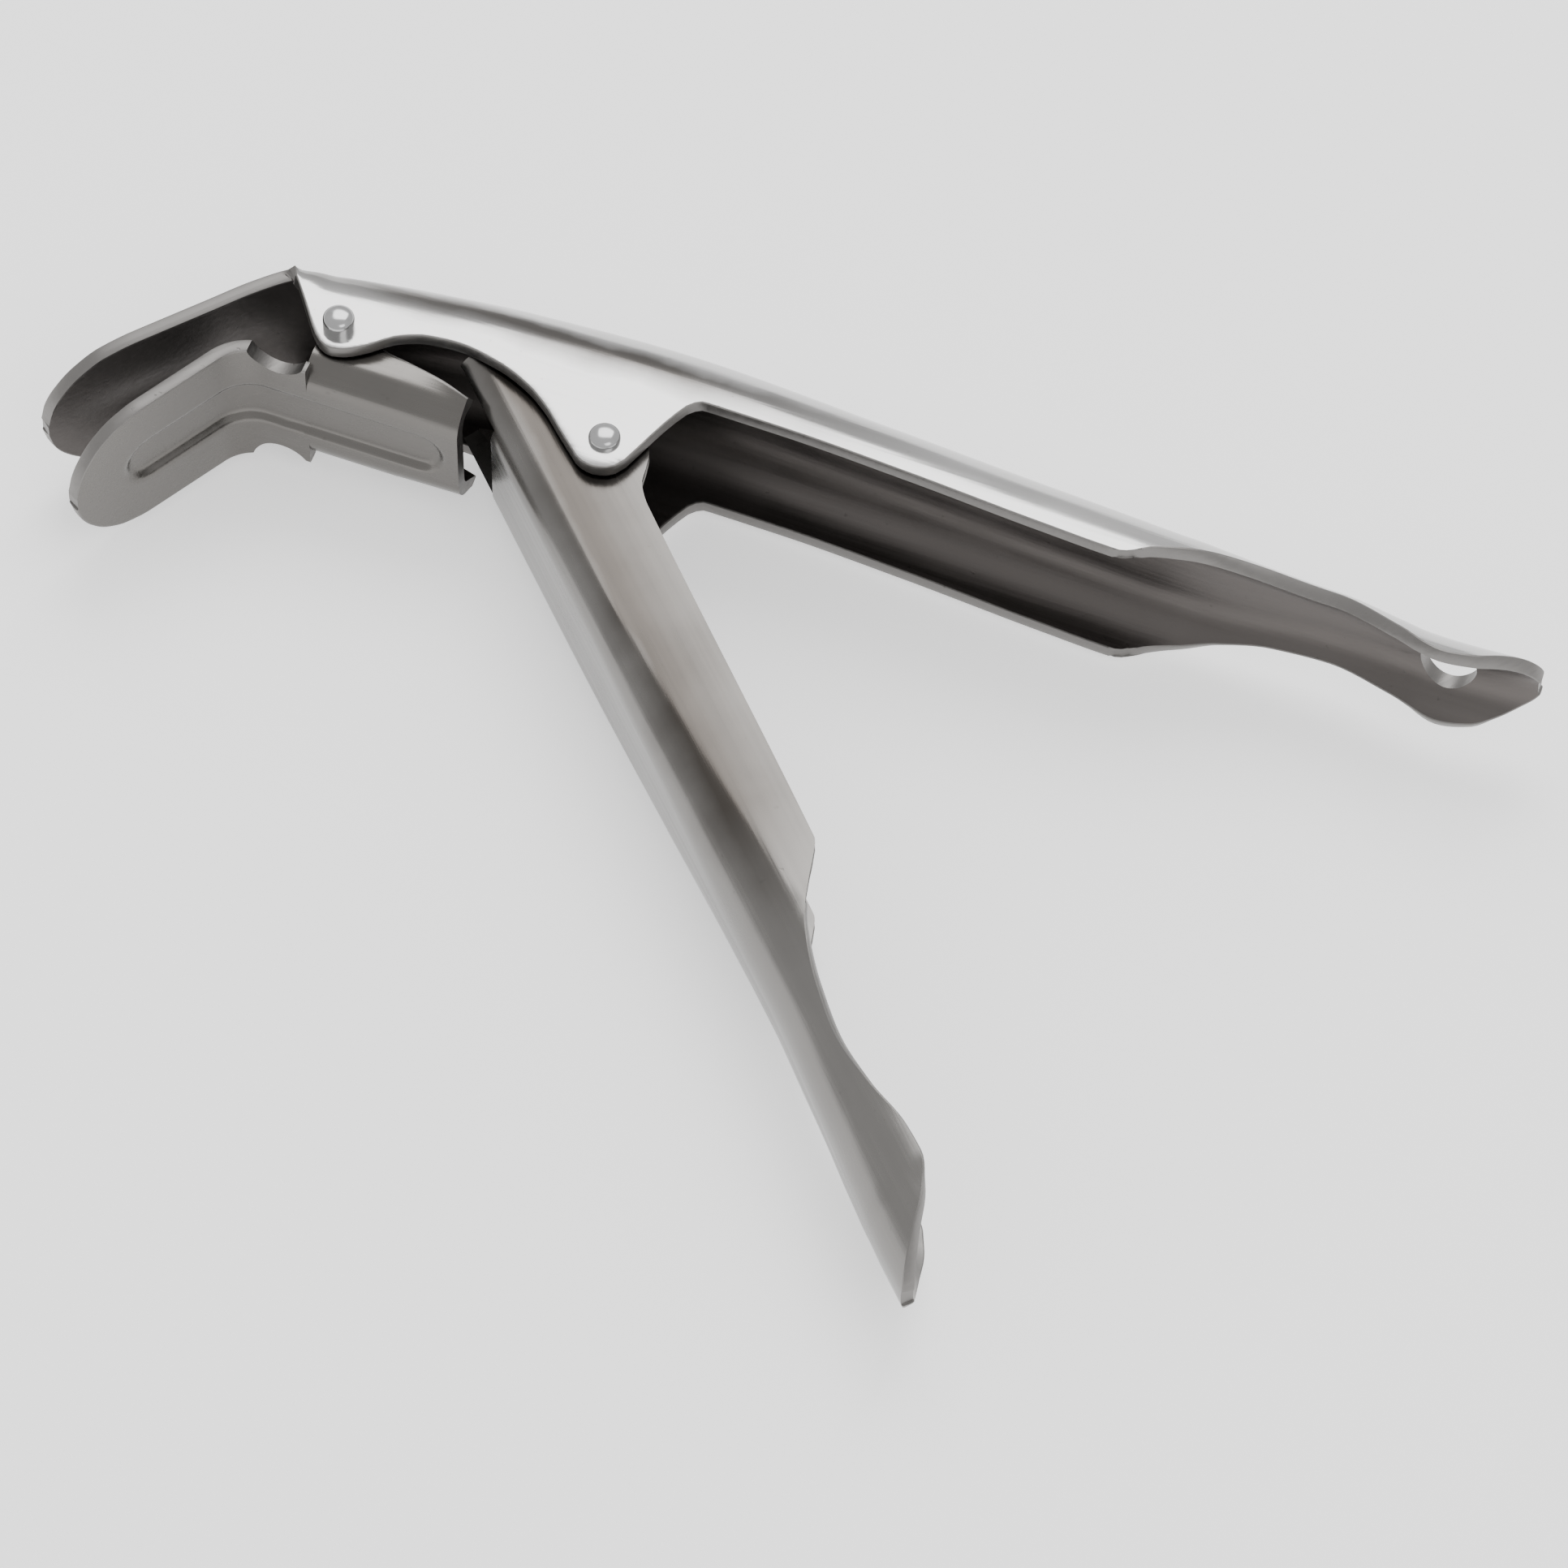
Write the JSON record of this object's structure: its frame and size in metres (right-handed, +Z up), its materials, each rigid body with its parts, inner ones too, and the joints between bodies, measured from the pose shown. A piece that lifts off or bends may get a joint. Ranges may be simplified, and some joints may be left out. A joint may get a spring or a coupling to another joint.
{
  "type": "pan gripper",
  "caption": "Hand-squeezed pan gripper: a channel handle with a fixed jaw plate, a hinged lower jaw and a long lever on two rivets.",
  "frame": {"origin": "on the rear rivet's axis, at the flat end of that rivet which the tool rests on when it lies on its side", "axes": "+X along the upper handle towards its tail, +Y out of the upper handle's crown, +Z up along the rivets"},
  "size_m": [0.2057, 0.1268, 0.0293],
  "materials": {
    "handle_steel": "satin",
    "jaw_steel": "satin",
    "lever_steel": "satin",
    "rivet_steel": "satin"
  },
  "bodies": {
    "upper": {"upper_handle": "handle_steel", "front_rivet": "rivet_steel", "rear_rivet": "rivet_steel"},
    "jaw": {"lower_jaw": "jaw_steel"},
    "lever": {"lower_handle": "lever_steel"}
  },
  "joints": [
    {"name": "lever_pivot", "type": "hinge", "parent": "upper", "child": "lever", "pos_m": [0, 0, 0.0141], "axis": [0, 0, 1], "range_deg": [0, 18]},
    {"name": "jaw_pivot", "type": "hinge", "parent": "upper", "child": "jaw", "pos_m": [-0.0408, 0.0046, 0.0141], "axis": [0, 0, 1], "range_deg": [-14.4, 0]}
  ],
  "couplings": [
    {"joint": "jaw_pivot", "follows": "lever_pivot", "ratio": -0.8}
  ]
}
